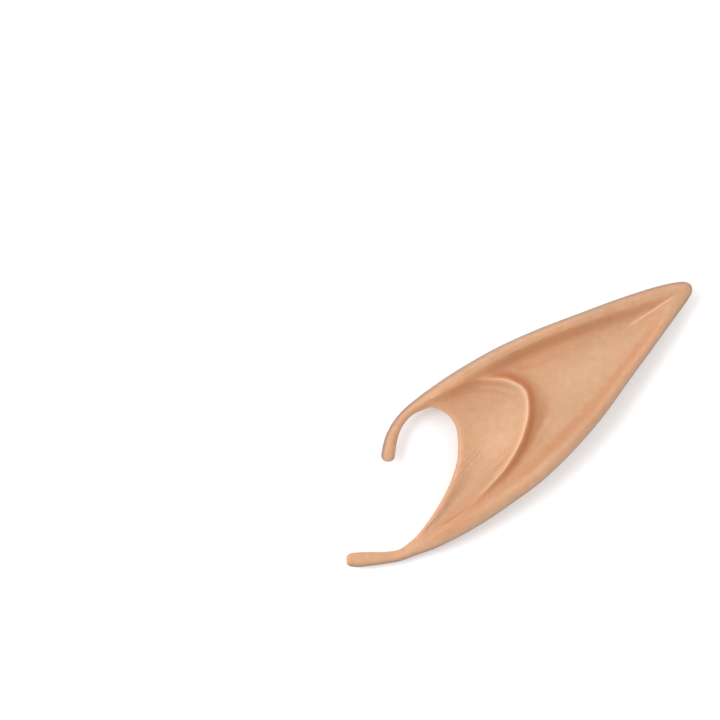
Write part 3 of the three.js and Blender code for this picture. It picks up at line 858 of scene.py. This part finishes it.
def painted_highlights(marks):
    """Painted highlights: on top of the fold and along the crease towards the point."""
    top = np.exp(-(((marks["crest"] + BEAD_AWAY) / BEAD_WIDTH) ** 2)) * marks["fold"] ** 2
    return np.maximum(marks["shine"], FOLD_TOP_HIGHLIGHT * top)


def shade_and_light_of(vertices):
    """How much darker each vertex is painted, by painted shade and partly a deeper tone of the skin,
    or painted lighter below nought.
    """
    tone = np.zeros(len(vertices))
    for x, y, reach_x, reach_y, painted_shade_and_tone in SHADE_AND_LIGHT_PATCHES:
        away = ((vertices[:, 0] - x) / reach_x) ** 2 + ((vertices[:, 1] - y) / reach_y) ** 2
        tone += painted_shade_and_tone * np.exp(-away)
    return tone


# A Mix node's sockets when it mixes colours
MIX_FACTOR = 0
MIX_ONE = 6
MIX_OTHER = 7
MIX_RESULT = 2


class Nodes:
    """Shorthand for building a material's node tree."""

    def __init__(self, name):
        self.material = bpy.data.materials.new(name)
        self.material.use_nodes = True
        self.tree = self.material.node_tree
        self.tree.nodes.clear()

    def fill(self, socket, value):
        """Link a socket to another node's output, or set it to a constant."""
        if hasattr(value, "is_output"):
            self.tree.links.new(value, socket)
        else:
            socket.default_value = value

    def add(self, kind, inputs=None, **settings):
        node = self.tree.nodes.new(kind)
        for key, value in settings.items():
            setattr(node, key, value)
        for key, value in (inputs or {}).items():
            self.fill(node.inputs[key], value)
        return node

    def math(self, operation, one, other=0.0):
        node = self.add("ShaderNodeMath", operation=operation)
        self.fill(node.inputs[0], one)
        self.fill(node.inputs[1], other)
        return node.outputs[0]

    def cover(self, under, factor, share, colour):
        """Lay a colour over another one, as far as a factor and a share say."""
        return self.mix(self.math("MULTIPLY", factor, share), under, (*colour, 1.0))

    def mix(self, factor, one, other):
        sockets = {MIX_FACTOR: factor, MIX_ONE: one, MIX_OTHER: other}
        return self.add("ShaderNodeMix", sockets, data_type="RGBA").outputs[MIX_RESULT]

    def noise(self, coordinates, scale, detail, roughness):
        return self.add(
            "ShaderNodeTexNoise",
            {"Vector": coordinates, "Scale": scale, "Detail": detail, "Roughness": roughness},
        ).outputs["Fac"]

    def pattern(self, coordinates, name):
        """One of the noise patterns, stretched to run from 0 to 1."""
        scale, detail, roughness, low, high = PATTERNS[name]
        value = self.noise(coordinates, scale, detail, roughness)
        return self.add(
            "ShaderNodeMapRange",
            {"Value": value, "From Min": low, "From Max": high},
        ).outputs[0]

    def value_of(self, name):
        return self.add("ShaderNodeAttribute", attribute_name=name).outputs["Fac"]

    def finish(self, settings):
        """The material, with a Principled shader of these settings as its surface."""
        shader = self.add("ShaderNodeBsdfPrincipled", settings)
        self.add("ShaderNodeOutputMaterial", {"Surface": shader.outputs[0]})
        return self.material


def latex():
    n = Nodes("skin_latex")
    place = n.add("ShaderNodeTexCoord").outputs["Object"]

    # Colour: a peach skin tone that drifts a little, with painted shade, deeper and more orange, down
    # in the folds and along the edge, and painted light on the lip, on the fold's top and in bright
    # patches
    peach, fawn = DRIFT_COLOURS
    colour = n.mix(n.pattern(place, "drift"), (*peach, 1.0), (*fawn, 1.0))
    for name, (share, tone) in PATTERN_COLOURS.items():
        colour = n.cover(colour, n.pattern(place, name), share, tone)
    for name, (share, tone) in MARK_COLOURS.items():
        colour = n.cover(colour, n.value_of(name), share, tone)

    # Grain of the mould and pores, and fine lines in the bowl that follow the fold here and there
    grain = n.noise(place, *GRAIN)
    pores = n.noise(place, *PORES)
    wander = n.math("MULTIPLY", n.noise(place, *WANDER), WANDER_REACH)
    turns = n.math("MULTIPLY", n.math("ADD", n.value_of("crest"), wander), LINE_CLOSENESS)
    lines = n.math("MULTIPLY", n.math("SINE", turns), n.value_of("bowl"))
    lines = n.math("MULTIPLY", lines, n.pattern(place, "patch"))
    height = n.math("MULTIPLY", grain, GRAIN_HEIGHT)
    height = n.math("ADD", height, n.math("MULTIPLY", pores, PORE_HEIGHT))
    height = n.math("ADD", height, n.math("MULTIPLY", lines, LINE_HEIGHT))
    bump = n.add("ShaderNodeBump", {"Height": height, "Strength": 0.6, "Distance": 0.0003})
    roughness = n.add(
        "ShaderNodeMapRange",
        {"Value": pores, "From Min": 0.3, "From Max": 0.7, "To Min": 0.44, "To Max": 0.56},
    )
    return n.finish({
        "Base Color": colour,
        "Roughness": roughness.outputs[0],
        "Normal": bump.outputs["Normal"],
        "Subsurface Weight": 0.6,
        "Subsurface Radius": (1.0, 0.4, 0.25),
        "Subsurface Scale": 0.0018,
        "Specular IOR Level": 0.4,
    })


def table_top():
    n = Nodes("pale_table")
    return n.finish({
        "Base Color": (0.93, 0.93, 0.93, 1.0),
        "Roughness": 0.85,
        "Specular IOR Level": 0.1,
    })


TABLE_WIDTH = 6.0


def make_floor(z):
    mesh = bpy.data.meshes.new("table")
    reach = TABLE_WIDTH / 2
    corners = [(-reach, -reach, z), (reach, -reach, z), (reach, reach, z), (-reach, reach, z)]
    mesh.from_pydata(corners, [], [(0, 1, 2, 3)])
    table = bpy.data.objects.new("table", mesh)
    bpy.context.scene.collection.objects.link(table)
    mesh.materials.append(table_top())


# The photograph looks straight down on the ear. Its scale, and where the ear's ends lie in it,
# give the camera's place and roll. Heights are in metres.
MM_PER_PIXEL = 0.28153
TIP_PIXEL = np.array([693.0, 286.8])
END_PIXEL = np.array([346.0, 563.8])
MIDDLE_PIXEL = np.array([360.0, 360.0])
FRAME_PIXELS = 720
CAMERA_HEIGHT = 1.0
FOCUS_HEIGHT = 0.0075
SENSOR_WIDTH = 36.0


def make_camera(scale, origin):
    """A camera above the ear, and which ways are right and up in its picture."""
    along = (TIP_PIXEL - END_PIXEL) / np.linalg.norm(TIP_PIXEL - END_PIXEL)
    across = np.array([along[1], -along[0]])
    middle = (MIDDLE_PIXEL - END_PIXEL) * MM_PER_PIXEL
    aim = np.array([middle @ along, middle @ across]) * scale[:2] - origin[:2]
    right = Vector((along[0], across[0], 0.0))
    up = Vector((-along[1], -across[1], 0.0))
    data = bpy.data.cameras.new("camera")
    data.sensor_fit = "HORIZONTAL"
    data.sensor_width = SENSOR_WIDTH
    data.lens = SENSOR_WIDTH * CAMERA_HEIGHT * MM / (FRAME_PIXELS * MM_PER_PIXEL)
    data.clip_end = 20.0
    camera = bpy.data.objects.new("camera", data)
    matrix = Matrix((right, up, right.cross(up))).transposed().to_4x4()
    matrix.translation = (aim[0] / MM, aim[1] / MM, FOCUS_HEIGHT + CAMERA_HEIGHT)
    camera.matrix_world = matrix
    bpy.context.scene.collection.objects.link(camera)
    bpy.context.scene.camera = camera
    return right, up


# Each lamp's direction as shares of right, up and out of the picture, its distance, size and power
LAMPS = {
    "key": ((-0.8, 0.25, 0.9), 1.2, 0.9, 6.0),
    "glow": ((-0.5, 0.1, 0.87), 1.4, 0.5, 3.5),
    "fill": ((0.6, 0.5, 0.9), 1.8, 1.2, 3.5),
}


def make_lights(right, up):
    """Soft light from the left of the picture and a little above, and a wide frontal fill."""
    toward = Vector((0, 0, 1))
    for name, (shares, distance, size, power) in LAMPS.items():
        data = bpy.data.lights.new(name, "AREA")
        data.shape = "DISK"
        data.size = size
        data.energy = power
        light = bpy.data.objects.new(name, data)
        direction = (shares[0] * right + shares[1] * up + shares[2] * toward).normalized()
        light.location = direction * distance
        light.rotation_euler = direction.to_track_quat("Z", "Y").to_euler()
        bpy.context.scene.collection.objects.link(light)
    world = bpy.data.worlds.new("studio")
    world.use_nodes = True
    background = world.node_tree.nodes["Background"]
    background.inputs["Color"].default_value = (1.0, 1.0, 1.0, 1.0)
    background.inputs["Strength"].default_value = 1.0
    bpy.context.scene.world = world
    bpy.context.scene.view_settings.view_transform = "Standard"


ear, scale, origin = make_ear()
ear.data.materials.append(latex())
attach(ear, "root")
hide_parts("ear_tip")
make_floor(float(cad_bounds[0][2]))
make_lights(*make_camera(scale, origin))
